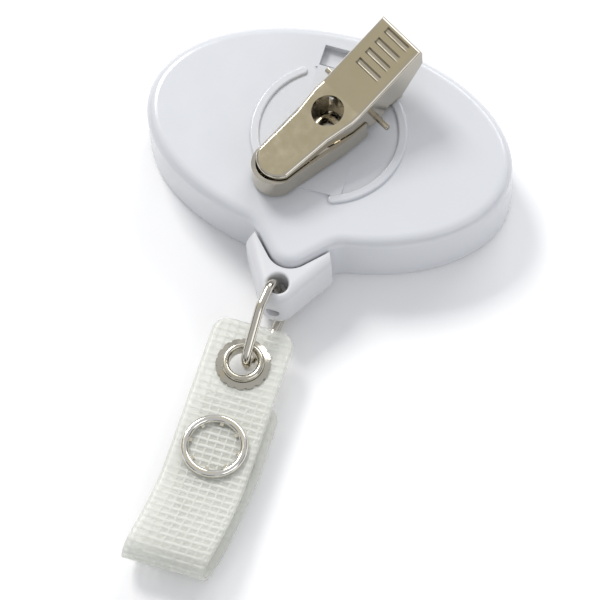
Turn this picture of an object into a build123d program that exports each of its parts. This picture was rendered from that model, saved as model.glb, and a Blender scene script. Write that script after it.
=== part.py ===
from build123d import *
from math import acos, cos, degrees, radians, sin, sqrt, tan
import os

# Retractable badge reel with a swivel bulldog clip and a snap strap.
#
# Millimetres, Z up. The reel lies on its front face: the origin is the middle of the
# front face, right under the swivel axis, and the tail of the case points along -Y.

os.makedirs("parts", exist_ok=True)

# ---- driving dimensions -----------------------------------------------------------
# case
case_length = 51.6          # long axis of the oval, along X
case_width = 31.8           # short axis of the oval, along Y
case_thickness = 10.0
case_wall = 1.6
back_wall = 1.6
back_edge_round = 1.5
front_edge_round = 0.5
tail_overhang = 5.9         # how far the sharp corner of the tail stands past the oval
tail_half_angle = 43.5
tail_tip_round = 3.1
tail_root_round = 4.0
bead_margin = 5.72          # side of the oval to the middle of the raised ring
bead_width = 1.28
bead_height = 0.4
bead_round = 0.3
bead_top_gap = 37.5         # half angle left open at the top of the ring
bead_tail_gap = 20.0        # half angle left open on the tail side
pad_half_width = 4.4        # raised pad along the tail axis
pad_height = 0.3
window_width = 8.8
window_length = 3.2
window_depth = 1.0
window_margin = 3.1         # side of the oval to the far edge of the window
cover_thickness = 1.6
cover_lip = 0.6             # how much of the wall is cut away for the front cover
cover_gap = 0.05
# swivel stud
stud_shank_radius = 1.6
stud_root_radius = 1.2
stud_head_radius = 2.5
# spool
post_radius = 2.0
post_pin_radius = 1.2
spool_bore_gap = 0.1
flange_gap = 1.1            # spool flange to the wall of the case
flange_thickness = 0.6
groove_rise = 2.0           # front cover to the middle of the cord groove
groove_width = 0.8
core_radius = 5.0
drum_margin = 4.6           # flange edge to the outside of the spring drum
drum_wall = 0.6
spring_lid = 0.5
spool_top_gap = 0.3
spring_turns = 8
spring_thickness = 0.15
# cord
cord_diameter = 0.6
cord_pitch = 0.62
cord_core_gap = 0.4         # core to the middle of the innermost turn
cord_flange_gap = 0.6       # flange edge to the middle of the outermost turn
cord_bore_radius = 0.6
# end fitting
fitting_bottom = 1.5
fitting_step = 1.0          # back of the case to the top of the fitting
fitting_half_angle = 30.8
fitting_tip_radius = 2.7
fitting_hole_out = 1.3       # tail corner to the middle of the hole
fitting_hole_radius = 1.45
fitting_wing = 5.1          # tail corner back to the tips of the wings
fitting_wing_step = 1.63    # slant of the wing ends
fitting_gap = 0.35
fitting_edge_round = 1.6
tip_pocket_radius = 1.0
# wire loop
wire_radius = 0.65
loop_clear = 0.15           # fitting to the arms of the loop
loop_shoulder = 4.6
loop_apex = 13.8
loop_bend = 2.0
loop_swing = 5.0
loop_tilt = 9.0
# strap
strap_x = -1.45
strap_width = 11.4
strap_thickness = 0.5
strap_end_out = 5.2         # fitting hole to the end of the front leaf
strap_drop = 0.35           # middle of the fitting to the middle of the front leaf
leaf_spacing = 2.4          # between the middles of the two leaves
strap_length = 33.9         # end of the front leaf to the middle of the fold
flap_length = 23.9          # middle of the fold to the end of the rear leaf
bend_length = 11.2          # middle of the fold to where the leaves lie flat
fold_radius = 2.3
fold_lift = 1.1             # middle of the fold below the front leaf
strap_corner = 2.2
eyelet_inset = 6.0          # end of the front leaf to the middle of the eyelet
eyelet_hole = 1.95
eyelet_flange = 3.75
snap_inset = 18.6           # end of the front leaf to the middle of the snap
snap_ring_radius = 4.0
snap_ring_width = 1.1
snap_ring_height = 0.95
snap_prongs = 8
snap_stud_radius = 1.7
snap_stud_gap = 0.2
# clip
clip_angle = 59.8           # the way the clip is turned on its swivel
sheet = 0.6
jaw_lift = 0.5
jaw_depth = 3.7             # depth of the pan
jaw_nose = -13.0
jaw_nose_half = 3.25
jaw_rear_half = 4.2
jaw_wall_end = 3.4
jaw_tail_half = 3.0
jaw_tail_end = 11.0
jaw_tail_lip = 2.4
jaw_tooth_depth = 0.7
jaw_tooth_pitch = 1.6
lever_nose_back = 0.9       # nose of the jaw to the nose of the lever
lever_nose_half = 2.9
lever_rear_half = 3.85
lever_rear = 14.0
lip_gap = 0.25              # rim of the jaw to the lip of the lever
lever_mid_height = 7.1      # top of the lever at its bend
lever_bend = 2.55
lever_nose_slope = 0.143
lever_rear_slope = 0.371
lever_hole_radius = 2.25
pin_s = 5.4
pin_z = 3.1
pin_radius = 0.45
pin_gap = 0.05
pin_half_length = 6.2
ear_radius = 1.7
slot_count = 4
slot_first = 7.5
slot_pitch = 1.75
slot_half = 2.1
groove_radius = 0.5
groove_depth = 0.36
lever_edge_round = 0.5
spring_wire = 0.6
spring_coil_radius = 1.1
spring_coils = 3

# ---- sizes that follow ----------------------------------------------------------------
back = case_thickness
half_a = case_length / 2
half_b = case_width / 2
tail_apex = half_b + tail_overhang
tail_tip = tail_apex - tail_tip_round * (1 / sin(radians(tail_half_angle)) - 1)
cavity_top = case_thickness - back_wall
bead_radius = half_b - bead_margin
window_start = half_b - window_margin - window_length
groove_mid = cover_thickness + groove_rise
flange_radius = half_b - case_wall - flange_gap
drum_radius = flange_radius - drum_margin
cord_inner_radius = core_radius + cord_core_gap
cord_outer_radius = flange_radius - cord_flange_gap
fitting_top = case_thickness - fitting_step
fitting_mid = (fitting_bottom + fitting_top) / 2
fitting_hole_y = -(tail_apex + fitting_hole_out)
fitting_wing_y = -(tail_apex - fitting_wing)
fitting_wing_end_y = fitting_wing_y - fitting_wing_step
loop_half_height = (fitting_top - fitting_bottom) / 2 + wire_radius + loop_clear
strap_end = fitting_hole_y - strap_end_out
strap_height = fitting_mid - strap_drop
flap_height = strap_height - leaf_spacing
fold_y = strap_end - strap_length
fold_height = strap_height - fold_lift
flap_end = fold_y + flap_length
leaf_bend = fold_y + bend_length
eyelet_y = strap_end - eyelet_inset
snap_y = strap_end - snap_inset
jaw_rim = jaw_lift + jaw_depth
lever_nose = jaw_nose + lever_nose_back
lever_lip = jaw_rim + lip_gap


# ---- small helpers ------------------------------------------------------------------
def upright(x, y):
    """Vertical plane through a point, with local x along X and local y up."""
    return Plane(origin=(x, y, 0), x_dir=(1, 0, 0), z_dir=(0, -1, 0))


def pole(x, y):
    return Axis((x, y, 0), (0, 0, 1))


def ring(x, y, points):
    """Body of revolution from (radius, height) points."""
    with BuildPart() as turned:
        with BuildSketch(upright(x, y)):
            with BuildLine():
                Polyline(*points, close=True)
            make_face()
        revolve(axis=pole(x, y))
    return turned.part


# ---- case -------------------------------------------------------------------------
def case_block(inset, bottom, top):
    """Solid with the case outline moved inwards by inset."""
    apex = tail_apex - inset / sin(radians(tail_half_angle))
    spread = apex * tan(radians(tail_half_angle))
    with BuildPart() as block:
        with BuildSketch(Plane.XY.offset(bottom)):
            Ellipse(half_a - inset, half_b - inset)
            with BuildLine():
                Polyline((0, -apex), (spread, 0), (-spread, 0), close=True)
            make_face()
        extrude(amount=top - bottom)
        tip = block.edges().filter_by(Axis.Z).sort_by(Axis.Y)[0]
        fillet(tip, max(tail_tip_round - inset, 0.6))
        roots = block.edges().filter_by(Axis.Z).filter_by(lambda e: -half_b < e.center().Y < -half_b / 2)
        fillet(roots.filter_by(lambda e: abs(e.center().X) > tail_tip_round), tail_root_round)
    return block.part


pad_end = bead_radius - 1.08
boss_height = jaw_lift - 0.08
stud_root_bottom = back - 4.4
post_bottom = cover_thickness + 0.4
pin_bottom = 0.9

outer_block = case_block(0, 0, case_thickness)
cavity_block = case_block(case_wall, cover_thickness, cavity_top)
rebate_block = case_block(case_wall - cover_lip, 0, cover_thickness)

with BuildPart() as back_shell:
    add(outer_block)
    fillet(back_shell.faces().sort_by(Axis.Z)[-1].edges(), back_edge_round)
    fillet(back_shell.faces().sort_by(Axis.Z)[0].edges(), front_edge_round)
    add(cavity_block, mode=Mode.SUBTRACT)
    add(rebate_block, mode=Mode.SUBTRACT)
    # spool post with a pin for the front cover
    with BuildSketch(Plane.XY.offset(post_bottom)):
        Circle(post_radius)
    extrude(amount=cavity_top - post_bottom)
    with BuildSketch(Plane.XY.offset(pin_bottom)):
        Circle(post_pin_radius)
    extrude(amount=post_bottom - pin_bottom)
    # seat for the clip
    with BuildSketch(Plane.XY.offset(back)):
        Circle(stud_head_radius + 0.8)
    extrude(amount=boss_height)
    # raised ring in two arcs
    right_arc = 180 - bead_top_gap - bead_tail_gap
    with BuildSketch(Plane.XY.offset(back)):
        SlotArc(arc=CenterArc((0, 0), bead_radius, bead_tail_gap - 90, right_arc), height=bead_width)
        SlotArc(arc=CenterArc((0, 0), bead_radius, 90 + bead_top_gap, right_arc), height=bead_width)
    extrude(amount=bead_height)
    bead_tops = back_shell.faces().filter_by(lambda f: abs(f.center().Z - back - bead_height) < 0.01)
    fillet(bead_tops.edges(), bead_round)
    # ramps along the tail axis
    with BuildSketch(Plane.YZ):
        with BuildLine():
            Polyline((window_start - 0.1, back - 0.2), (window_start - 0.1, back + 0.45),
                     (3.6, back + 0.05), (3.6, back - 0.2), close=True)
        make_face()
        with BuildLine():
            Polyline((-pad_end, back - 0.2), (-pad_end, back + pad_height),
                     (-3.6, back + 0.05), (-3.6, back - 0.2), close=True)
        make_face()
    extrude(amount=pad_half_width, both=True)
    # latch window: raised rim, shallow recess and a slot into the case
    with BuildSketch(Plane.XY.offset(back - 0.2)):
        with Locations((0, window_start + window_length / 2)):
            Rectangle(window_width + 0.8, window_length + 0.7)
    extrude(amount=0.4)
    with BuildSketch(Plane.XY.offset(back - window_depth)):
        with Locations((0, window_start + window_length / 2)):
            Rectangle(window_width, window_length)
    extrude(amount=window_depth + 1, mode=Mode.SUBTRACT)
    with BuildSketch(Plane.XY.offset(cavity_top - 0.1)):
        with Locations((0, window_start + 0.35)):
            Rectangle(window_width, 0.7)
    extrude(amount=back_wall, mode=Mode.SUBTRACT)
    # bore for the root of the swivel stud
    with BuildSketch(Plane.XY.offset(stud_root_bottom)):
        Circle(stud_root_radius)
    extrude(amount=back + boss_height - stud_root_bottom, mode=Mode.SUBTRACT)
    # cord exit through the tail, funnelled at both ends
    with BuildSketch(Plane.XZ.offset(tail_tip - case_wall - 0.8)):
        with Locations((0, fitting_mid)):
            Circle(cord_bore_radius)
    extrude(amount=case_wall + 1.5, mode=Mode.SUBTRACT)

with BuildPart() as front_cover:
    add(case_block(case_wall - cover_lip + cover_gap, 0, cover_thickness))
    fillet(front_cover.faces().sort_by(Axis.Z)[0].edges(), 0.3)
    add(case_block(case_wall + cover_gap, cover_thickness, cover_thickness + 0.7))
    add(case_block(case_wall + 0.8, cover_thickness, cover_thickness + 0.7), mode=Mode.SUBTRACT)
    with BuildSketch(Plane.XY.offset(cover_thickness)):
        Circle(post_radius + 0.6)
    extrude(amount=post_bottom - cover_thickness - 0.05)
    with BuildSketch(Plane.XY.offset(pin_bottom - 0.1)):
        Circle(post_pin_radius + cover_gap)
    extrude(amount=post_bottom, mode=Mode.SUBTRACT)

# swivel stud: domed head, shank through the jaw and a root pressed into the post
head_bottom = back + jaw_lift + sheet + 0.08
with BuildPart() as swivel_stud:
    with BuildSketch(upright(0, 0)):
        with BuildLine():
            Polyline((0, stud_root_bottom), (stud_root_radius, stud_root_bottom),
                     (stud_root_radius, back + boss_height), (stud_shank_radius, back + boss_height),
                     (stud_shank_radius, head_bottom), (stud_head_radius, head_bottom),
                     (stud_head_radius, head_bottom + 0.4))
            Bezier((stud_head_radius, head_bottom + 0.4), (stud_head_radius, head_bottom + 1.0),
                   (stud_head_radius * 0.6, head_bottom + 1.3), (0, head_bottom + 1.3))
            Line((0, head_bottom + 1.3), (0, stud_root_bottom))
        make_face()
    revolve(axis=Axis.Z)

# ---- spool and cord -------------------------------------------------------------------
groove_low = groove_mid - groove_width / 2
groove_high = groove_mid + groove_width / 2
spool_low = groove_low - flange_thickness
web_top = groove_high + flange_thickness
spool_top = cavity_top - spool_top_gap
spool_bore = post_radius + spool_bore_gap
drum_inner = drum_radius - drum_wall

with BuildPart() as spool:
    add(ring(0, 0, [(spool_bore, spool_low), (flange_radius, spool_low), (flange_radius, groove_low),
                    (core_radius, groove_low), (core_radius, groove_high), (flange_radius, groove_high),
                    (flange_radius, web_top), (drum_radius, web_top), (drum_radius, spool_top),
                    (drum_inner, spool_top), (drum_inner, web_top), (spool_bore, web_top)]))
    # windows that lighten the upper flange
    with BuildSketch(Plane.XY.offset(groove_high)):
        with PolarLocations((drum_radius + flange_radius) / 2, 6):
            SlotOverall(4.2, 1.8, rotation=90)
    extrude(amount=flange_thickness, mode=Mode.SUBTRACT)

with BuildPart() as spring_lid_disc:
    add(ring(0, 0, [(spool_bore, spool_top - spring_lid), (drum_inner, spool_top - spring_lid),
                    (drum_inner, spool_top), (spool_bore, spool_top)]))

# flat coiled spring between the post and the drum
coil_start = post_radius + spring_thickness
coil_end = drum_inner - spring_thickness


def spring_side(shift):
    steps = spring_turns * 12
    rise = (coil_end - coil_start) / steps
    return [((coil_start + rise * k + shift) * cos(radians(30 * k)),
             (coil_start + rise * k + shift) * sin(radians(30 * k))) for k in range(steps + 1)]


with BuildPart() as mainspring:
    with BuildSketch(Plane.XY.offset(web_top + 0.2)):
        with BuildLine():
            near = Spline(*spring_side(-spring_thickness / 2))
            far = Spline(*spring_side(spring_thickness / 2))
            Line(near @ 0, far @ 0)
            Line(near @ 1, far @ 1)
        make_face()
    extrude(amount=spool_top - spring_lid - web_top - 0.4)

# cord: a flat spiral in the groove, then a straight run to the tail
cord_corner_y = -(tail_tip - 2.5)
leave = degrees(acos(sqrt(1 - (cord_outer_radius / cord_corner_y) ** 2)))
cord_turns = (cord_outer_radius - cord_inner_radius) / cord_pitch


def spiral_point(back_angle):
    radius = cord_outer_radius - cord_pitch * back_angle / 360
    angle = radians(back_angle - leave)
    return (radius * cos(angle), radius * sin(angle), groove_mid)


spiral_steps = int(cord_turns * 12)
with BuildPart() as cord_wound:
    with BuildLine() as spiral:
        Spline(*[spiral_point(30 * k) for k in range(spiral_steps + 1)])
    with BuildSketch(Plane(origin=spiral.line @ 0, z_dir=spiral.line % 0)):
        Circle(cord_diameter / 2)
    sweep()

leave_point = Vector(*spiral_point(0))
corner = Vector(0, cord_corner_y, groove_mid)
bend_point = leave_point + (corner - leave_point).normalized() * 4.6
tie_y = fitting_hole_y + 0.05
tie_ball_y = fitting_hole_y + 1.05
with BuildPart() as cord_lead:
    with BuildLine() as lead:
        FilletPolyline(leave_point, bend_point, (0, cord_corner_y, fitting_mid),
                       (0, tie_ball_y + cord_diameter / 2 + 0.1, fitting_mid), radius=3)
    with BuildSketch(Plane(origin=lead.line @ 0, z_dir=lead.line % 0)):
        Circle(cord_diameter / 2)
    sweep()

# the cord end is tied round the bar of the wire loop
with BuildPart() as cord_tie:
    with BuildSketch(upright(0, tie_y)):
        with Locations((wire_radius + cord_diameter / 2 + 0.04, fitting_mid)):
            Circle(cord_diameter / 2)
    revolve(axis=pole(0, tie_y))
    with BuildSketch(Plane.XZ.offset(-tie_ball_y - 0.4)):
        with Locations((0, fitting_mid)):
            Circle(0.42)
    extrude(amount=0.6)

# ---- end fitting ------------------------------------------------------------------------
fitting_apex = -fitting_hole_y + 0.2 + fitting_tip_radius / sin(radians(fitting_half_angle))
notch_apex = tail_apex + fitting_gap / sin(radians(tail_half_angle))
wing_x = (fitting_apex + fitting_wing_end_y) * tan(radians(fitting_half_angle))
notch_x = (notch_apex + fitting_wing_y) * tan(radians(tail_half_angle))
with BuildPart() as end_fitting:
    with BuildSketch(Plane.XY.offset(fitting_bottom)):
        with BuildLine():
            Polyline((0, -notch_apex), (notch_x, fitting_wing_y), (wing_x, fitting_wing_end_y),
                     (0, -fitting_apex), (-wing_x, fitting_wing_end_y), (-notch_x, fitting_wing_y), close=True)
        make_face()
    extrude(amount=fitting_top - fitting_bottom)
    upright_edges = end_fitting.edges().filter_by(Axis.Z)
    fillet(upright_edges.sort_by(Axis.Y)[0], fitting_tip_radius)
    outer_sides = end_fitting.faces().filter_by(lambda f: abs(f.normal_at().Z) < 0.1)
    outer_sides = outer_sides.filter_by(lambda f: f.normal_at().Y < -0.3 and f.center().Y < fitting_wing_end_y)
    rims = outer_sides.edges().filter_by(lambda e: abs((e @ 0).Z - (e @ 1).Z) < 0.01)
    fillet(rims, fitting_edge_round)
    upright_edges = end_fitting.edges().filter_by(Axis.Z)
    fillet(upright_edges.filter_by(lambda e: abs(e.center().X) < 0.1), tail_tip_round + fitting_gap)
    with BuildSketch(Plane.XY.offset(fitting_bottom)):
        with Locations((0, fitting_hole_y)):
            Circle(fitting_hole_radius)
    extrude(amount=fitting_top - fitting_bottom, mode=Mode.SUBTRACT)
    mouths = end_fitting.edges().filter_by(GeomType.CIRCLE)
    mouths = mouths.filter_by(lambda e: abs(e.radius - fitting_hole_radius) < 0.01)
    fillet(mouths, 0.35)
    with BuildSketch(Plane.XZ.offset(-fitting_hole_y)):
        with Locations((0, fitting_mid)):
            Circle(tip_pocket_radius)
    extrude(amount=4, mode=Mode.SUBTRACT)
    with BuildSketch(Plane.XZ.offset(-fitting_hole_y - 2.8)):
        with Locations((0, fitting_mid)):
            Circle(cord_diameter / 2 + 0.15)
    extrude(amount=2.8, mode=Mode.SUBTRACT)

# ---- wire loop ----------------------------------------------------------------------------
swing = radians(loop_swing)
tilt = radians(loop_tilt)
loop_dir = Vector(-sin(swing), -cos(swing), 0)
loop_side = Vector(-cos(swing), sin(swing), 0)
loop_up = Vector(0, 0, cos(tilt)) + loop_side * sin(tilt)
loop_plane = Plane(origin=(0, tie_y, fitting_mid), x_dir=loop_dir, z_dir=loop_dir.cross(loop_up))
with BuildPart() as wire_loop:
    with BuildLine(loop_plane) as loop_path:
        FilletPolyline((0, -loop_half_height), (0, loop_half_height), (loop_shoulder, loop_half_height),
                       (loop_apex, 0), (loop_shoulder, -loop_half_height), radius=loop_bend, close=True)
    with BuildSketch(Plane(origin=loop_path.line @ 0, z_dir=loop_path.line % 0)):
        Circle(wire_radius)
    sweep()

# ---- strap ----------------------------------------------------------------------------------
half_leaf = strap_thickness / 2
leaf_top = strap_height + half_leaf
leaf_under = strap_height - half_leaf
flap_top = flap_height + half_leaf
flap_under = flap_height - half_leaf
fold_top = fold_height + fold_radius
fold_bottom = fold_height - fold_radius
prong_radius = snap_ring_radius - snap_ring_width / 2 - 0.15


def prong_slots(plane):
    """Small slots or prongs round the snap."""
    with BuildSketch(plane) as marks:
        with PolarLocations(prong_radius, snap_prongs):
            Rectangle(0.4, 0.7)
    return marks.sketch


with BuildPart() as strap_front:
    with BuildSketch(Plane.YZ.offset(strap_x)):
        with BuildLine():
            Line((strap_end, leaf_top), (leaf_bend, leaf_top))
            Bezier((leaf_bend, leaf_top), (leaf_bend - 4.5, leaf_top),
                   (fold_y + 4.2, fold_top + half_leaf), (fold_y, fold_top + half_leaf))
            CenterArc((fold_y, fold_height), fold_radius + half_leaf, 90, 90)
            Line((fold_y - fold_radius - half_leaf, fold_height), (fold_y - fold_radius + half_leaf, fold_height))
            CenterArc((fold_y, fold_height), fold_radius - half_leaf, 90, 90)
            Bezier((fold_y, fold_top - half_leaf), (fold_y + 4.2, fold_top - half_leaf),
                   (leaf_bend - 4.5, leaf_under), (leaf_bend, leaf_under))
            Line((leaf_bend, leaf_under), (strap_end, leaf_under))
            Line((strap_end, leaf_under), (strap_end, leaf_top))
        make_face()
    extrude(amount=strap_width / 2, both=True)
    ends = strap_front.edges().filter_by(Axis.Z).filter_by(lambda e: e.center().Y > strap_end - 0.1)
    fillet(ends, strap_corner)
    with BuildSketch(Plane.XY.offset(leaf_under)):
        with Locations((strap_x, eyelet_y)):
            Circle(eyelet_hole + 0.3)
    extrude(amount=strap_thickness, mode=Mode.SUBTRACT)
    add(extrude(prong_slots(Plane((strap_x, snap_y, leaf_under))), strap_thickness, mode=Mode.PRIVATE),
        mode=Mode.SUBTRACT)

fold_split = radians(182)   # the flap starts just past the end of the fold
with BuildPart() as strap_flap:
    with BuildSketch(Plane.YZ.offset(strap_x)):
        with BuildLine():
            inner_arc = CenterArc((fold_y, fold_height), fold_radius - half_leaf, degrees(fold_split), 88)
            Bezier((fold_y, fold_bottom + half_leaf), (fold_y + 4.2, fold_bottom + half_leaf),
                   (leaf_bend - 4.5, flap_top), (leaf_bend, flap_top))
            Line((leaf_bend, flap_top), (flap_end, flap_top))
            Line((flap_end, flap_top), (flap_end, flap_under))
            Line((flap_end, flap_under), (leaf_bend, flap_under))
            Bezier((leaf_bend, flap_under), (leaf_bend - 4.5, flap_under),
                   (fold_y + 4.2, fold_bottom - half_leaf), (fold_y, fold_bottom - half_leaf))
            outer_arc = CenterArc((fold_y, fold_height), fold_radius + half_leaf, degrees(fold_split), 88)
            Line(outer_arc @ 0, inner_arc @ 0)
        make_face()
    extrude(amount=strap_width / 2, both=True)
    ends = strap_flap.edges().filter_by(Axis.Z).filter_by(lambda e: e.center().Y > flap_end - 0.1)
    fillet(ends, strap_corner)
    add(extrude(prong_slots(Plane((strap_x, snap_y, flap_under))), strap_thickness, mode=Mode.PRIVATE),
        mode=Mode.SUBTRACT)

# ---- eyelet ------------------------------------------------------------------------------
eyelet_wall = 0.3
lip_height = leaf_top + 1.15
with BuildPart() as eyelet:
    with BuildSketch(upright(strap_x, eyelet_y)):
        with BuildLine():
            Polyline((eyelet_hole, lip_height - 0.35), (eyelet_hole, leaf_under - 0.1))
            ThreePointArc((eyelet_hole, leaf_under - 0.1), (eyelet_hole + 0.5, leaf_under - 0.75),
                          (eyelet_hole + 1.2, leaf_under - 0.5))
            Polyline((eyelet_hole + 1.2, leaf_under - 0.5), (eyelet_flange, leaf_under - 0.25),
                     (eyelet_flange, leaf_under), (eyelet_hole + eyelet_wall, leaf_under),
                     (eyelet_hole + eyelet_wall, lip_height - 0.45), (eyelet_hole + 0.95, lip_height - 0.55))
            ThreePointArc((eyelet_hole + 0.95, lip_height - 0.55), (eyelet_hole + 0.6, lip_height),
                          (eyelet_hole, lip_height - 0.35))
        make_face()
    revolve(axis=pole(strap_x, eyelet_y))

washer_inner = eyelet_hole + eyelet_wall
with BuildPart() as eyelet_washer:
    add(ring(strap_x, eyelet_y, [(washer_inner, leaf_top), (eyelet_flange, leaf_top),
                                 (eyelet_flange, leaf_top + 0.15), (washer_inner + 0.7, leaf_top + 0.5),
                                 (washer_inner, leaf_top + 0.5)]))
    with BuildSketch(Plane.XY.offset(leaf_top)):
        with Locations((strap_x, eyelet_y)):
            with PolarLocations(eyelet_flange + 0.1, 16):
                Circle(0.28)
    extrude(amount=0.6, mode=Mode.SUBTRACT)


# ---- snap -------------------------------------------------------------------------------
def snap_ring(face, side):
    """Open ring on a leaf; side is 1 above the leaf and -1 below it."""
    ring_inner = snap_ring_radius - snap_ring_width / 2
    ring_outer = snap_ring_radius + snap_ring_width / 2
    top = face + side * snap_ring_height
    with BuildPart() as round_ring:
        with BuildSketch(upright(strap_x, snap_y)):
            with BuildLine():
                Polyline((ring_inner, face + side * 0.35), (ring_inner, face),
                         (ring_outer, face), (ring_outer, face + side * 0.3))
                ThreePointArc((ring_outer, face + side * 0.3), (snap_ring_radius + 0.05, top),
                              (ring_inner, face + side * 0.35))
            make_face()
        revolve(axis=pole(strap_x, snap_y))
        with BuildSketch(Plane.XY.offset(min(face, face + side * 0.35))):
            with Locations((strap_x, snap_y)):
                with PolarLocations(prong_radius + 0.05, snap_prongs):
                    Rectangle(0.5, 0.5)
        extrude(amount=0.35)
        with BuildSketch(Plane.XY.offset(min(face, face - side * strap_thickness))):
            with Locations((strap_x, snap_y)):
                with PolarLocations(prong_radius, snap_prongs):
                    Rectangle(0.3, 0.5)
        extrude(amount=strap_thickness)
    return round_ring.part


with BuildPart() as snap_cap_ring:
    add(snap_ring(leaf_top, 1))

with BuildPart() as snap_back_ring:
    add(snap_ring(flap_under, -1))

socket_outer = snap_ring_radius - 0.1
socket_bottom = leaf_under - 1.3
socket_bore = snap_stud_radius + snap_stud_gap
with BuildPart() as snap_socket:
    add(ring(strap_x, snap_y, [(0, leaf_under), (socket_outer, leaf_under), (socket_outer, leaf_under - 0.5),
                               (socket_bore + 0.8, socket_bottom + 0.3), (socket_bore + 0.6, socket_bottom),
                               (socket_bore, socket_bottom), (socket_bore, leaf_under - 0.25),
                               (0, leaf_under - 0.25)]))

stud_top = leaf_under - 0.35
with BuildPart() as snap_stud:
    add(ring(strap_x, snap_y, [(0, flap_top), (socket_outer, flap_top), (socket_outer, flap_top + 0.2),
                               (snap_stud_radius + 0.5, flap_top + 0.3), (snap_stud_radius - 0.1, flap_top + 0.5),
                               (snap_stud_radius - 0.1, stud_top - 0.6), (snap_stud_radius, stud_top - 0.4),
                               (snap_stud_radius, stud_top - 0.2), (snap_stud_radius - 0.2, stud_top),
                               (0, stud_top)]))

# ---- clip -------------------------------------------------------------------------------
turn = radians(clip_angle)
clip_dir = Vector(cos(turn), sin(turn), 0)
clip_side = Vector(sin(turn), -cos(turn), 0)
clip_top_plane = Plane(origin=(0, 0, back), x_dir=clip_dir, z_dir=(0, 0, 1))
clip_side_plane = Plane(origin=(0, 0, back), x_dir=clip_dir, z_dir=clip_side)


def clip_point(s, t, z):
    """World point from distance along the clip, across it and above the back."""
    return clip_dir * s + clip_side * t + Vector(0, 0, back + z)


def rounded_plan(points, nose, low, high):
    """Upright block over a plan outline with a round nose; points run down one side."""
    other = [(s, -t) for s, t in reversed(points)]
    with BuildPart() as block:
        with BuildSketch(clip_top_plane.offset(low)):
            with BuildLine():
                Polyline(*points, *other)
                ThreePointArc(other[-1], (nose, 0), points[0])
            make_face()
        extrude(amount=high - low)
    return block.part


def side_region(points):
    """Block over a side profile, wider than the whole clip."""
    with BuildPart() as block:
        with BuildSketch(clip_side_plane):
            with BuildLine():
                Polyline(*points, close=True)
            make_face()
        extrude(amount=8, both=True)
    return block.part


# lower jaw: a pan with a toothed rim, ears for the pin and a turned-up tail
def jaw_outline(inset):
    return [(-9.6 + inset / 2, -(jaw_nose_half - inset)), (-0.6, -(jaw_rear_half - inset)),
            (jaw_wall_end + inset / 10, -(jaw_rear_half - inset))]


jaw_floor = jaw_lift + sheet
jaw_pan = rounded_plan(jaw_outline(0), jaw_nose, jaw_lift, jaw_rim)
jaw_well = rounded_plan(jaw_outline(sheet), jaw_nose + sheet, jaw_floor, jaw_rim + 1)
with BuildPart() as clip_jaw:
    add(jaw_pan)
    add(jaw_well, mode=Mode.SUBTRACT)
    # teeth along the rim
    with BuildSketch(clip_side_plane):
        with Locations((-6.4, jaw_rim)):
            with GridLocations(jaw_tooth_pitch, 1, 7, 1):
                with BuildLine():
                    Polyline((-0.55, 0.1), (0, -jaw_tooth_depth), (0.55, 0.1), close=True)
                make_face()
    extrude(amount=8, both=True, mode=Mode.SUBTRACT)
    with BuildSketch(clip_top_plane.offset(jaw_lift)):
        with Locations(((jaw_wall_end + jaw_tail_end) / 2 - 1, 0)):
            Rectangle(jaw_tail_end - jaw_wall_end + 2, 2 * jaw_tail_half)
    extrude(amount=sheet)
    with BuildSketch(clip_top_plane.offset(jaw_lift)):
        with Locations((jaw_tail_end - sheet / 2, 0)):
            Rectangle(sheet, 2 * jaw_tail_half)
    extrude(amount=jaw_tail_lip)
    with BuildSketch(clip_side_plane.offset(jaw_tail_half - sheet)) as ear:
        with Locations((pin_s, pin_z)):
            Circle(ear_radius - 0.2)
        with Locations((pin_s, (pin_z + jaw_lift) / 2)):
            Rectangle(2 * ear_radius - 0.4, pin_z - jaw_lift)
    extrude(amount=sheet)
    extrude(ear.sketch.moved(Location(clip_side * (sheet - 2 * jaw_tail_half))), amount=sheet)
    with BuildSketch(clip_side_plane):
        with Locations((pin_s, pin_z)):
            Circle(pin_radius + pin_gap)
    extrude(amount=8, both=True, mode=Mode.SUBTRACT)
    with BuildSketch(clip_top_plane.offset(jaw_lift)):
        Circle(stud_shank_radius + 0.1)
    extrude(amount=sheet, mode=Mode.SUBTRACT)


# lever: channel with slots for the thumb, a round hole and ears for the pin
def lever_outline(inset):
    return [(-10.2 + inset / 2, -(lever_nose_half - inset)), (-2.9, -(lever_nose_half + 0.3 - inset)),
            (1.1, -(lever_rear_half - inset)), (lever_rear - inset, -(lever_rear_half - inset))]


def lever_height(s):
    slope = lever_rear_slope if s > lever_bend else lever_nose_slope
    return lever_mid_height + slope * (s - lever_bend)


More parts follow.
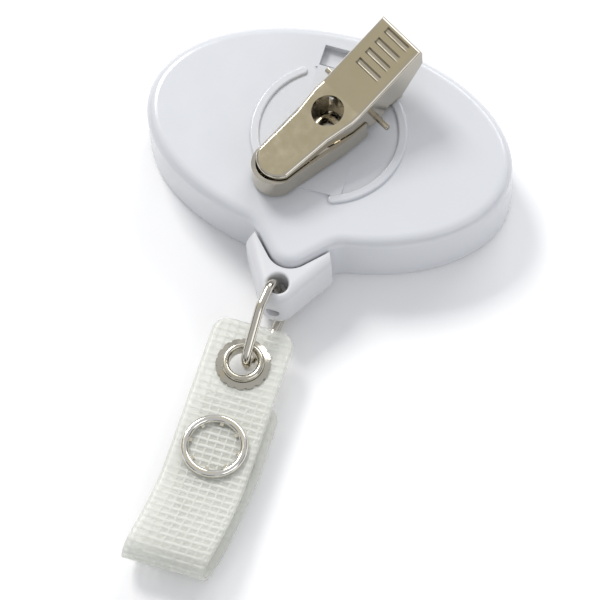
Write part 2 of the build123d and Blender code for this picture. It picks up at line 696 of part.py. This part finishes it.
lever_plan = rounded_plan(lever_outline(0), lever_nose, 0, 14)
lever_void_plan = rounded_plan(lever_outline(sheet), lever_nose + sheet, 0, 14)
lever_side = side_region([(-14, lever_lip), (3.4, lever_lip), (3.75, pin_z + 0.4), (3.9, pin_z - 0.8),
                          (4.6, pin_z - ear_radius + 0.15), (5.4, pin_z - ear_radius),
                          (6.2, pin_z - ear_radius + 0.15), (6.9, pin_z - 0.7), (7.6, pin_z + 0.2),
                          (10.4, pin_z + 0.4), (14.4, 8.2), (16, 8.2), (16, lever_height(16)),
                          (lever_bend, lever_mid_height), (-14, lever_height(-14))])
lever_void = side_region([(-14, 0), (16, 0), (16, lever_height(16) - sheet),
                          (lever_bend, lever_mid_height - sheet), (-14, lever_height(-14) - sheet)])
with BuildPart() as clip_lever:
    add(lever_plan)
    add(lever_side, mode=Mode.INTERSECT)
    crown = clip_lever.faces().filter_by(lambda f: f.normal_at().Z > 0.8).edges()
    fillet(crown.filter_by(lambda e: abs((e @ 0).Z - (e @ 1).Z) < 12), lever_edge_round)
    add(lever_void_plan.intersect(lever_void), mode=Mode.SUBTRACT)
    with BuildSketch(clip_top_plane):
        Circle(lever_hole_radius)
    extrude(amount=14, mode=Mode.SUBTRACT)
    # round-bottomed thumb grooves across the rear
    with BuildSketch(clip_side_plane):
        for k in range(slot_count):
            groove_s = slot_first + slot_pitch * k
            with Locations((groove_s, lever_height(groove_s) + groove_radius - groove_depth)):
                Circle(groove_radius)
    extrude(amount=slot_half, both=True, mode=Mode.SUBTRACT)
    with BuildSketch(clip_side_plane):
        with Locations((pin_s, pin_z)):
            Circle(pin_radius + pin_gap)
    extrude(amount=8, both=True, mode=Mode.SUBTRACT)

with BuildPart() as clip_pin:
    with BuildSketch(clip_side_plane.offset(-pin_half_length)):
        with Locations((pin_s, pin_z)):
            Circle(pin_radius)
    extrude(amount=2 * pin_half_length)
    chamfer(clip_pin.edges(), 0.1)

# torsion spring: coils round the pin, one leg on the jaw and one under the lever
coil_from = 140
coil_to = 270 + 360 * spring_coils
coil_steps = (coil_to - coil_from) // 30
coil_points = []
for k in range(coil_steps + 1):
    angle = radians(coil_from + (coil_to - coil_from) * k / coil_steps)
    side = (k / coil_steps - 0.5) * spring_coils * (spring_wire + 0.08)
    coil_points.append(clip_point(pin_s + spring_coil_radius * cos(angle), side,
                                  pin_z + spring_coil_radius * sin(angle)))
upper_leg = [clip_point(pin_s + spring_coil_radius * cos(radians(140)) + 0.643 * d,
                        -0.5 * spring_coils * (spring_wire + 0.08),
                        pin_z + spring_coil_radius * sin(radians(140)) + 0.766 * d) for d in (5.6, 3.6, 1.8)]
lower_leg = [clip_point(pin_s + d, 0.5 * spring_coils * (spring_wire + 0.08),
                        pin_z - spring_coil_radius - 0.09 * d) for d in (1.4, 2.8, 4.6)]
with BuildPart() as clip_spring:
    with BuildLine() as wire:
        Spline(*upper_leg, *coil_points, *lower_leg)
    with BuildSketch(Plane(origin=wire.line @ 0, z_dir=wire.line % 0)):
        Circle(spring_wire / 2)
    sweep()

# ---- write every piece ------------------------------------------------------------------
pieces = {
    "back_shell": back_shell, "front_cover": front_cover, "swivel_stud": swivel_stud,
    "spool": spool, "spring_lid": spring_lid_disc, "mainspring": mainspring,
    "cord_wound": cord_wound, "cord_lead": cord_lead, "cord_tie": cord_tie,
    "end_fitting": end_fitting, "wire_loop": wire_loop,
    "strap_front_leaf": strap_front, "strap_rear_leaf": strap_flap,
    "eyelet": eyelet, "eyelet_washer": eyelet_washer,
    "snap_cap_ring": snap_cap_ring, "snap_socket": snap_socket,
    "snap_stud": snap_stud, "snap_back_ring": snap_back_ring,
    "clip_jaw": clip_jaw, "clip_lever": clip_lever, "clip_pin": clip_pin, "clip_spring": clip_spring,
}
for name, piece in pieces.items():
    piece.part.label = name
    export_step(piece.part, f"parts/{name}.step")
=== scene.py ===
import math

import bpy
from mathutils import Matrix, Vector


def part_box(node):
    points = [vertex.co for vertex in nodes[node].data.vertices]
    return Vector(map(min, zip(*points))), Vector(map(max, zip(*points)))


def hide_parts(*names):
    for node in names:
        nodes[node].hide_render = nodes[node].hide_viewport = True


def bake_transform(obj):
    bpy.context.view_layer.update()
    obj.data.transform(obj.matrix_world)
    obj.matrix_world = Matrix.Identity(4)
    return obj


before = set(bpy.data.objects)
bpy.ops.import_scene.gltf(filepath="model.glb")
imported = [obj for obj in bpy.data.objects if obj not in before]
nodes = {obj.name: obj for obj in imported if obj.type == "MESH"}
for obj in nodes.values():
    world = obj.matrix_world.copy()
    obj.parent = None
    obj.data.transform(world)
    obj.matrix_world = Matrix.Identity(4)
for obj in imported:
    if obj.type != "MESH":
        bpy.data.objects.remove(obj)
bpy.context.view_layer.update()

MM = 0.001

# ---- sizes shared with the CAD, in millimetres ----------------------------------------
STRAP_X = -1.45
STRAP_HALF = 5.7
STRAP_THICK = 0.5
STRAP_END = -28.3
LEAF_BEND = -51.0
FOLD_Y = -62.2
FOLD_R = 2.3
FOLD_Z = 3.8
FRONT_Z = 4.9
REAR_Z = 2.5
FLAP_END = -38.3
EYELET_Y = -34.3
EYELET_HOLE = 2.25

# ---- the visible strap, in millimetres ----------------------------------------------------
LEAF_STEPS = 40             # samples of the middle line: front leaf
BEND_STEPS = 24             # each slope between a leaf and the fold
ARC_STEPS = 24              # the fold
FLAP_STEPS = 24             # rear leaf
LEAF_HANDLE = 4.5           # curve handle on the leaf's side of a slope
FOLD_HANDLE = 4.2           # and on the fold's side
LEAN_START = -50.0          # the strap leans to one side beyond this
LEAN_RATE = 0.0072
FLAP_OFFSET = 0.9           # how far the rear leaf stands out at the side
FLAP_OFFSET_RUN = 18.0
CORNER_RADIUS = 2.2
END_INSET = 0.02            # keeps the end rows from closing to a point
HOLE_GAP = 0.2              # threads stop this far from the eyelet hole
WARP_PITCH = 1.2
WARP_COUNT = 9
WARP_RADIUS = 0.12
WARP_WAVE = 0.09
WARP_STEP = 0.25
WEFT_PITCH = 1.0
WEFT_RADIUS = 0.20
WEFT_FLAT = 0.5
WEFT_WAVE = 0.07
WEFT_STEPS = 48
FIRST_WEFT = 0.7

# ---- the visible cord, in millimetres -----------------------------------------------------
CORD_RADIUS = 0.29
CORD_INSET = 0.25           # box of the CAD run to the middle of the cord
CORD_END_INSET = 0.02
GROOVE_Z = 3.6              # height of the cord on the spool
EXIT_Z = 5.25               # height of the cord in the tail
EXIT_Y = -17.9              # where the cord reaches the tail's axis
LEVEL_RUN = 4.6             # length that stays beside the spool


# ---- shader helpers --------------------------------------------------------------------
def new_material(name):
    """Node material, its tree and its Principled shader."""
    mat = bpy.data.materials.new(name)
    mat.use_nodes = True
    tree = mat.node_tree
    shader = tree.nodes["Principled BSDF"]
    return mat, tree, shader


def noise(tree, scale, detail=4.0, rough=0.55, stretch=None):
    """Noise in object space; stretch scales the three axes."""
    coords = tree.nodes.new("ShaderNodeTexCoord")
    mapping = tree.nodes.new("ShaderNodeMapping")
    if stretch:
        mapping.inputs["Scale"].default_value = stretch
    tree.links.new(coords.outputs["Object"], mapping.inputs["Vector"])
    tex = tree.nodes.new("ShaderNodeTexNoise")
    tex.inputs["Scale"].default_value = scale
    tex.inputs["Detail"].default_value = detail
    tex.inputs["Roughness"].default_value = rough
    tree.links.new(mapping.outputs["Vector"], tex.inputs["Vector"])
    return tex.outputs["Fac"]


def remap(tree, value, low_in, high_in, low_out, high_out):
    """Maps value from one range to another."""
    node = tree.nodes.new("ShaderNodeMapRange")
    node.inputs["From Min"].default_value = low_in
    node.inputs["From Max"].default_value = high_in
    node.inputs["To Min"].default_value = low_out
    node.inputs["To Max"].default_value = high_out
    tree.links.new(value, node.inputs["Value"])
    return node.outputs["Result"]


def tint(tree, value, first, second):
    """Colour between first and second, by value."""
    mix = tree.nodes.new("ShaderNodeMix")
    mix.data_type = "RGBA"
    mix.inputs["A"].default_value = (*first, 1)
    mix.inputs["B"].default_value = (*second, 1)
    tree.links.new(value, mix.inputs["Factor"])
    return mix.outputs["Result"]


def bump(tree, shader, value, strength, distance):
    node = tree.nodes.new("ShaderNodeBump")
    node.inputs["Strength"].default_value = strength
    node.inputs["Distance"].default_value = distance
    tree.links.new(value, node.inputs["Height"])
    tree.links.new(node.outputs["Normal"], shader.inputs["Normal"])


# ---- materials -----------------------------------------------------------------------------
def plastic(name, colour, second, rough, grain=0.15):
    """Moulded plastic with faint clouding and a fine grain."""
    mat, tree, shader = new_material(name)
    shader.inputs["Specular IOR Level"].default_value = 0.5
    shader.inputs["Subsurface Weight"].default_value = 0.04
    shader.inputs["Subsurface Radius"].default_value = (0.002, 0.002, 0.002)
    cloud = noise(tree, 90, 3)
    tree.links.new(tint(tree, cloud, colour, second), shader.inputs["Base Color"])
    tree.links.new(remap(tree, noise(tree, 260, 5), 0.3, 0.7, rough - 0.05, rough + 0.07),
                   shader.inputs["Roughness"])
    bump(tree, shader, noise(tree, 1400, 2), grain, 0.00003)
    return mat


def metal(name, colour, second, rough, scratch=0.1, stretch=(1, 1, 1)):
    """Plated metal; stretch draws the scratches out along an axis."""
    mat, tree, shader = new_material(name)
    shader.inputs["Metallic"].default_value = 1.0
    tree.links.new(tint(tree, noise(tree, 150, 4), colour, second),
                   shader.inputs["Base Color"])
    wear = noise(tree, 500, 6, 0.6, stretch)
    tree.links.new(remap(tree, wear, 0.3, 0.7, rough - 0.04, rough + 0.08),
                   shader.inputs["Roughness"])
    bump(tree, shader, noise(tree, 900, 3, 0.5, stretch), scratch, 0.000012)
    return mat


def cord_fibre(name):
    """Braided nylon: crossing diagonal ribs."""
    mat, tree, shader = new_material(name)
    coords = tree.nodes.new("ShaderNodeTexCoord")
    wave = tree.nodes.new("ShaderNodeTexWave")
    wave.inputs["Scale"].default_value = 900
    wave.inputs["Distortion"].default_value = 1.5
    wave.bands_direction = "DIAGONAL"
    tree.links.new(coords.outputs["Object"], wave.inputs["Vector"])
    tree.links.new(tint(tree, wave.outputs["Fac"], (0.62, 0.62, 0.6), (0.85, 0.85, 0.83)),
                   shader.inputs["Base Color"])
    shader.inputs["Roughness"].default_value = 0.65
    shader.inputs["Sheen Weight"].default_value = 0.3
    bump(tree, shader, wave.outputs["Fac"], 0.5, 0.00008)
    return mat


def vinyl(name):
    """Clear soft vinyl, slightly milky, with faint ripples."""
    mat, tree, shader = new_material(name)
    tree.links.new(tint(tree, noise(tree, 200, 4), (0.78, 0.79, 0.72), (0.88, 0.885, 0.83)),
                   shader.inputs["Base Color"])
    tree.links.new(remap(tree, noise(tree, 400, 4), 0.3, 0.7, 0.2, 0.36),
                   shader.inputs["Roughness"])
    tree.links.new(remap(tree, noise(tree, 250, 3), 0.3, 0.7, 0.37, 0.50),
                   shader.inputs["Alpha"])
    shader.inputs["Specular IOR Level"].default_value = 0.5
    bump(tree, shader, noise(tree, 700, 3), 0.35, 0.00008)
    return mat


def thread(name):
    """Polyester thread of the woven mesh."""
    mat, tree, shader = new_material(name)
    tree.links.new(tint(tree, noise(tree, 900, 3), (0.70, 0.71, 0.65), (0.90, 0.91, 0.87)),
                   shader.inputs["Base Color"])
    shader.inputs["Roughness"].default_value = 0.5
    shader.inputs["Sheen Weight"].default_value = 0.2
    bump(tree, shader, noise(tree, 2500, 2, 0.5, (1, 4, 1)), 0.3, 0.00003)
    return mat


CASE = plastic("case plastic", (0.635, 0.648, 0.675), (0.655, 0.668, 0.692), 0.17)
FITTING = plastic("fitting plastic", (0.65, 0.655, 0.67), (0.67, 0.675, 0.69), 0.36)
SPOOL = plastic("spool plastic", (0.62, 0.63, 0.64), (0.68, 0.68, 0.68), 0.5, 0.3)
NICKEL = metal("clip nickel", (0.54, 0.50, 0.42), (0.60, 0.56, 0.48), 0.13, 0.12)
LOOP = metal("loop nickel", (0.58, 0.55, 0.48), (0.68, 0.65, 0.58), 0.12, 0.1)
EYELET = metal("eyelet nickel", (0.54, 0.51, 0.43), (0.64, 0.61, 0.53), 0.16, 0.15)
SNAP = metal("snap nickel", (0.74, 0.72, 0.66), (0.84, 0.82, 0.77), 0.12, 0.08)
SPRING = metal("spring steel", (0.36, 0.36, 0.37), (0.5, 0.5, 0.5), 0.28, 0.2, (1, 1, 8))
CORD = cord_fibre("braided nylon")
VINYL = vinyl("clear vinyl")
THREAD = thread("polyester thread")

FINISH = {
    "back_shell": CASE, "front_cover": CASE, "end_fitting": FITTING,
    "spool": SPOOL, "spring_lid": SPOOL, "mainspring": SPRING, "clip_spring": SPRING,
    "cord_wound": CORD, "cord_lead": CORD, "cord_tie": CORD,
    "clip_jaw": NICKEL, "clip_lever": NICKEL, "clip_pin": NICKEL, "swivel_stud": NICKEL,
    "wire_loop": LOOP, "eyelet": EYELET, "eyelet_washer": EYELET,
    "snap_cap_ring": SNAP, "snap_socket": SNAP, "snap_stud": SNAP, "snap_back_ring": SNAP,
    "strap_front_leaf": VINYL, "strap_rear_leaf": VINYL,
}
for name, mat in FINISH.items():
    nodes[name].data.materials.clear()
    nodes[name].data.materials.append(mat)


# ---- strap -------------------------------------------------------------------------------
def bezier(p0, p1, p2, p3, count):
    """Points of a cubic curve, without its last one."""
    points = []
    for k in range(count):
        t = k / count
        u = 1 - t
        points.append(tuple(u ** 3 * a + 3 * u * u * t * b + 3 * u * t * t * c + t ** 3 * d
                            for a, b, c, d in zip(p0, p1, p2, p3)))
    return points


def strap_line():
    """Middle of the strap as (y, z) points, from the eyelet end round the fold to the flap end."""
    top = FOLD_Z + FOLD_R
    bottom = FOLD_Z - FOLD_R
    leaf_curve = LEAF_BEND - LEAF_HANDLE
    fold_curve = FOLD_Y + FOLD_HANDLE
    line = [(STRAP_END + (LEAF_BEND - STRAP_END) * k / LEAF_STEPS, FRONT_Z)
            for k in range(LEAF_STEPS)]
    line += bezier((LEAF_BEND, FRONT_Z), (leaf_curve, FRONT_Z), (fold_curve, top), (FOLD_Y, top),
                   BEND_STEPS)
    for k in range(ARC_STEPS):
        angle = math.pi * k / ARC_STEPS
        line.append((FOLD_Y - FOLD_R * math.sin(angle), FOLD_Z + FOLD_R * math.cos(angle)))
    line += bezier((FOLD_Y, bottom), (fold_curve, bottom), (leaf_curve, REAR_Z),
                   (LEAF_BEND, REAR_Z), BEND_STEPS)
    line += [(LEAF_BEND + (FLAP_END - LEAF_BEND) * k / FLAP_STEPS, REAR_Z)
             for k in range(FLAP_STEPS + 1)]
    return line


LINE = strap_line()
LENGTHS = [0.0]
for (y0, z0), (y1, z1) in zip(LINE, LINE[1:]):
    LENGTHS.append(LENGTHS[-1] + math.hypot(y1 - y0, z1 - z0))
TOTAL = LENGTHS[-1]
FOLD_START = LENGTHS[LEAF_STEPS + BEND_STEPS + ARC_STEPS // 2]


def strap_point(along, across, lift):
    """Point of the strap in millimetres: along it, across it and off its middle surface."""
    along = min(max(along, 0.0), TOTAL - 1e-6)
    k = max(i for i, value in enumerate(LENGTHS) if value <= along)
    k = min(k, len(LINE) - 2)
    share = (along - LENGTHS[k]) / (LENGTHS[k + 1] - LENGTHS[k])
    (y0, z0), (y1, z1) = LINE[k], LINE[k + 1]
    y, z = y0 + (y1 - y0) * share, z0 + (z1 - z0) * share
    size = math.hypot(y1 - y0, z1 - z0)
    ny, nz = (z1 - z0) / size, -(y1 - y0) / size
    lean = max(0.0, LEAN_START - y)
    sway = -LEAN_RATE * lean ** 2
    if along > FOLD_START:
        sway += FLAP_OFFSET * min(1.0, (along - FOLD_START) / FLAP_OFFSET_RUN)
    return (STRAP_X + across + sway, y + ny * lift, z + nz * lift)


def mesh_object(name, verts, faces, mats):
    """Smooth-shaded object from vertices in millimetres."""
    mesh = bpy.data.meshes.new(name)
    mesh.from_pydata([Vector(v) * MM for v in verts], [], faces)
    for mat in mats:
        mesh.materials.append(mat)
    mesh.validate()
    mesh.polygons.foreach_set("use_smooth", [True] * len(mesh.polygons))
    obj = bpy.data.objects.new(name, mesh)
    bpy.context.scene.collection.objects.link(obj)
    return obj


def corner_width(along):
    """Half width of the strap, narrower at its rounded ends."""
    edge = min(along, TOTAL - along)
    if edge >= CORNER_RADIUS:
        return STRAP_HALF
    rise = math.sqrt(max(CORNER_RADIUS ** 2 - (CORNER_RADIUS - edge) ** 2, 0))
    return STRAP_HALF - CORNER_RADIUS + rise


def strap_sheet():
    """Closed vinyl sheet with a fine grid, built bent round the fold."""
    rows = 230
    cols = 18
    half = STRAP_THICK / 2
    verts, faces = [], []
    alongs = [TOTAL * k / rows for k in range(rows + 1)]
    for lift in (half, -half):
        for a in alongs:
            inner = max(a, END_INSET) if a < TOTAL / 2 else min(a, TOTAL - END_INSET)
            w = corner_width(inner)
            for c in range(cols + 1):
                verts.append(strap_point(a, w * (2 * c / cols - 1), lift))
    step = cols + 1
    layer = (rows + 1) * step
    for r in range(rows):
        for c in range(cols):
            i = r * step + c
            faces.append((i, i + 1, i + 1 + step, i + step))
            j = i + layer
            faces.append((j, j + step, j + 1 + step, j + 1))
    for r in range(rows):
        for c, flip in ((0, False), (cols, True)):
            i = r * step + c
            quad = (i, i + step, i + step + layer, i + layer)
            faces.append(quad[::-1] if flip else quad)
    for c in range(cols):
        for r, flip in ((0, True), (rows, False)):
            i = r * step + c
            quad = (i, i + 1, i + 1 + layer, i + layer)
            faces.append(quad if flip else quad[::-1])
    return mesh_object("strap_vinyl_sheet", verts, faces, [VINYL])


def cut_round(obj, x, y, radius, z_low, z_high):
    """Cuts a round hole through a leaf."""
    middle = (x * MM, y * MM, (z_low + z_high) / 2 * MM)
    bpy.ops.mesh.primitive_cylinder_add(vertices=48, radius=radius * MM,
                                        depth=(z_high - z_low) * MM, location=middle)
    cutter = bpy.context.object
    modifier = obj.modifiers.new("cut", "BOOLEAN")
    modifier.operation = "DIFFERENCE"
    modifier.solver = "EXACT"
    modifier.object = cutter
    bpy.context.view_layer.objects.active = obj
    bpy.ops.object.modifier_apply(modifier="cut")
    bpy.data.objects.remove(cutter)


def tube(points, radius, sides, verts, faces, flat=1.0):
    """Adds a closed tube along points to the lists."""
    base = len(verts)
    count = len(points)
    for k, p in enumerate(points):
        ahead = Vector(points[min(k + 1, count - 1)]) - Vector(points[max(k - 1, 0)])
        ahead.normalize()
        helper = Vector((1, 0, 0)) if abs(ahead.x) < 0.7 else Vector((0, 0, 1))
        right = ahead.cross(helper).normalized()
        upward = right.cross(ahead).normalized()
        for s in range(sides):
            angle = 2 * math.pi * s / sides
            offset = right * math.cos(angle) * radius + upward * math.sin(angle) * radius * flat
            verts.append(tuple(Vector(p) + offset))
    for k in range(count - 1):
        for s in range(sides):
            a = base + k * sides + s
            b = base + k * sides + (s + 1) % sides
            faces.append((a, b, b + sides, a + sides))
    faces.append(tuple(base + s for s in reversed(range(sides))))
    faces.append(tuple(base + (count - 1) * sides + s for s in range(sides)))


def inside_round(along, across):
    """True where the eyelet hole is."""
    x, y, z = strap_point(along, across, 0)
    if z < FOLD_Z:
        return False
    return math.hypot(x - STRAP_X, y - EYELET_Y) < EYELET_HOLE + HOLE_GAP


def strap_weave():
    """Open woven mesh held in the vinyl."""
    verts, faces = [], []
    for number in range(WARP_COUNT):
        across = WARP_PITCH * (number - WARP_COUNT // 2)
        run = []
        a = WARP_STEP
        while a < TOTAL - 0.2:
            phase = math.cos(math.pi * (a - FIRST_WEFT) / WEFT_PITCH + math.pi * number)
            if abs(across) < corner_width(a) - 0.25 and not inside_round(a, across):
                run.append(strap_point(a, across, WARP_WAVE * phase))
            elif len(run) > 2:
                tube(run, WARP_RADIUS, 6, verts, faces)
                run = []
            a += WARP_STEP
        if len(run) > 2:
            tube(run, WARP_RADIUS, 6, verts, faces)
    for number in range(int((TOTAL - 1.0) / WEFT_PITCH)):
        a = FIRST_WEFT + WEFT_PITCH * number
        half = corner_width(a) - 0.15
        run = []
        for k in range(WEFT_STEPS + 1):
            across = -half + 2 * half * k / WEFT_STEPS
            phase = math.cos(math.pi * across / WARP_PITCH + math.pi * number)
            if not inside_round(a, across):
                run.append(strap_point(a, across, -WEFT_WAVE * phase))
            elif len(run) > 2:
                tube(run, WEFT_RADIUS, 8, verts, faces, WEFT_FLAT)
                run = []
        if len(run) > 2:
            tube(run, WEFT_RADIUS, 8, verts, faces, WEFT_FLAT)
    return mesh_object("strap_woven_mesh", verts, faces, [THREAD])


sheet_obj = strap_sheet()
cut_round(sheet_obj, STRAP_X, EYELET_Y, EYELET_HOLE, FRONT_Z - 1, FRONT_Z + 1)
weave_obj = strap_weave()
for piece in (sheet_obj, weave_obj):
    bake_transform(piece)
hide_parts("strap_front_leaf", "strap_rear_leaf")


# ---- cord between the case and the fitting ---------------------------------------------
def cord_run():
    """The cord from the spool through the tail, as a finely divided tube."""
    box_low, box_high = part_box("cord_lead")
    start = Vector((box_high[0] / MM - CORD_INSET, box_high[1] / MM - CORD_INSET, GROOVE_Z))
    bend = start + (Vector((0, EXIT_Y, GROOVE_Z)) - start).normalized() * LEVEL_RUN
    corner = Vector((0, EXIT_Y, EXIT_Z))
    end = Vector((0, box_low[1] / MM + CORD_END_INSET, EXIT_Z))
    points = []
    for first, second, count in ((start, bend, 6), (bend, corner, 20), (corner, end, 70)):
        points += [tuple(first.lerp(second, k / count)) for k in range(count)]
    points.append(tuple(end))
    verts, faces = [], []
    tube(points, CORD_RADIUS, 12, verts, faces)
    return mesh_object("cord_run", verts, faces, [CORD])


cord_obj = cord_run()
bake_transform(cord_obj)
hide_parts("cord_lead")


# ---- clip spring, copied into an object of its own -------------------------------------
spring_obj = bpy.data.objects.new("clip_torsion_spring", nodes["clip_spring"].data.copy())
bpy.context.scene.collection.objects.link(spring_obj)
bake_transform(spring_obj)
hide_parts("clip_spring")


# ---- stage, light and camera ---------------------------------------------------------------
def area_light(name, where, aim, size, power, colour):
    """Rectangular light, in metres and watts."""
    data = bpy.data.lights.new(name, "AREA")
    data.shape = "RECTANGLE"
    data.size, data.size_y = size
    data.energy = power
    data.color = colour
    obj = bpy.data.objects.new(name, data)
    obj.location = where
    obj.rotation_euler = (Vector(aim) - Vector(where)).to_track_quat("-Z", "Y").to_euler()
    bpy.context.scene.collection.objects.link(obj)
    return obj


def card(name, where, aim, size, colour, strength):
    """Flat emitting card that the metal reflects."""
    bpy.ops.mesh.primitive_plane_add(size=1, location=where)
    obj = bpy.context.object
    obj.name = name
    obj.scale = (size[0], size[1], 1)
    obj.rotation_euler = (Vector(aim) - Vector(where)).to_track_quat("Z", "Y").to_euler()
    mat = bpy.data.materials.new(name)
    mat.use_nodes = True
    tree = mat.node_tree
    tree.nodes.clear()
    glow = tree.nodes.new("ShaderNodeEmission")
    glow.inputs["Color"].default_value = (*colour, 1)
    glow.inputs["Strength"].default_value = strength
    out = tree.nodes.new("ShaderNodeOutputMaterial")
    tree.links.new(glow.outputs["Emission"], out.inputs["Surface"])
    obj.data.materials.append(mat)
    obj.visible_diffuse = False
    obj.visible_shadow = False
    obj.visible_camera = False
    return obj


def floor():
    """White paper just under the object."""
    bpy.ops.mesh.primitive_plane_add(size=2.4, location=(0, 0, -0.00005))
    obj = bpy.context.object
    obj.name = "floor"
    mat, tree, shader = new_material("floor paper")
    paper = tint(tree, noise(tree, 30, 2), (0.955, 0.955, 0.955), (0.965, 0.965, 0.965))
    tree.links.new(paper, shader.inputs["Base Color"])
    shader.inputs["Roughness"].default_value = 0.85
    obj.data.materials.append(mat)


floor()
# the key stands outside the khaki card, which the lever reflects and which casts no shadow
area_light("key", (-0.50, 0.44, 0.72), (0, -0.02, 0), (0.30, 0.30), 5.2, (1.0, 0.99, 0.97))
area_light("fill", (0.55, -0.35, 0.45), (0, -0.02, 0), (0.5, 0.4), 0.7, (0.96, 0.98, 1.0))
area_light("back", (0.12, 0.75, 0.55), (0, -0.02, 0), (0.6, 0.25), 2.4, (1.0, 1.0, 1.0))
card("khaki card", (-0.27, 0.02, 0.60), (0, 0, 0.01), (0.42, 0.46), (0.64, 0.60, 0.47), 1.0)
# dark cards all round give the metal's edges their dark bands
for turn in range(8):
    angle = math.radians(45 * turn)
    where = (0.9 * math.sin(angle), -0.9 * math.cos(angle), 0.16)
    card("dark card %d" % turn, where, (0, 0, 0.16), (0.5, 0.3), (0.055, 0.045, 0.035), 1.0)

world = bpy.data.worlds.new("studio")
bpy.context.scene.world = world
world.use_nodes = True
sky = world.node_tree.nodes["Background"]
sky.inputs["Color"].default_value = (0.95, 0.96, 1.0, 1)
sky.inputs["Strength"].default_value = 0.62


def camera():
    """From 63.5 degrees up and 19.8 degrees round to the +X side, with a slight roll."""
    data = bpy.data.cameras.new("camera")
    obj = bpy.data.objects.new("camera", data)
    bpy.context.scene.collection.objects.link(obj)
    target = Vector((0, 0, 0.010))
    elevation, azimuth, distance = math.radians(63.46), math.radians(19.79), 0.601
    offset = Vector((math.sin(azimuth) * math.cos(elevation),
                     -math.cos(azimuth) * math.cos(elevation),
                     math.sin(elevation))) * distance
    obj.location = target + offset
    look = (-offset).to_track_quat("-Z", "Y").to_matrix().to_4x4()
    roll = Matrix.Rotation(math.radians(-2.73), 4, "Z")
    obj.matrix_world = Matrix.Translation(target + offset) @ look @ roll
    data.lens = 263.2
    data.sensor_width = 36
    data.shift_x = -0.0478
    data.shift_y = -0.2786
    bpy.context.scene.camera = obj


camera()
bpy.context.scene.view_settings.view_transform = "Standard"
